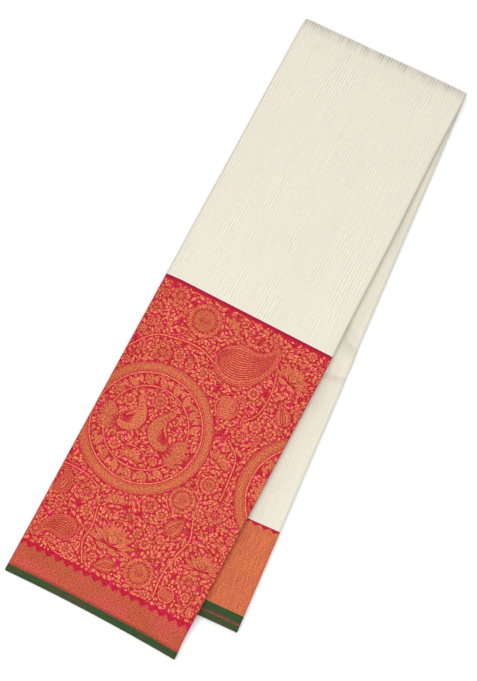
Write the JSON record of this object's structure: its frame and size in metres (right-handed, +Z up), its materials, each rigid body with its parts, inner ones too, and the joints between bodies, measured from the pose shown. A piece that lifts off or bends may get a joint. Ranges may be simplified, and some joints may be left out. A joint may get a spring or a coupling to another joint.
{
  "type": "folded silk sari",
  "caption": "Silk sari with a wide brocade border, pleated into a flat packet and folded once across, lying flat.",
  "frame": {"origin": "on the surface it lies on, under the middle of the folded sari's box", "axes": "+Z up; +Y along the front leaf from its free green edge to the cross fold; +X across, towards the side where the back leaf shows"},
  "size_m": [0.2218, 0.634, 0.0206],
  "materials": {
    "cream_silk": "soft silk sheen, fine lengthwise ribs",
    "brocade": "crimson silk brocaded in gold zari",
    "zari": "woven gold zari on red, low metallic sheen",
    "green_selvedge": "plain woven dark green silk"
  },
  "bodies": {
    "root": {"field_outer": "cream_silk", "brocade_front": "brocade", "zari_band_front": "zari", "selvedge_front": "green_selvedge", "zari_band_under": "zari", "selvedge_under": "green_selvedge", "field_inner": "cream_silk", "brocade_lower": "brocade", "zari_band_lower": "zari", "selvedge_lower": "green_selvedge", "zari_band_back": "zari", "selvedge_back": "green_selvedge", "selvedge_second": "green_selvedge", "inner_plies": "cream_silk"}
  },
  "joints": []
}
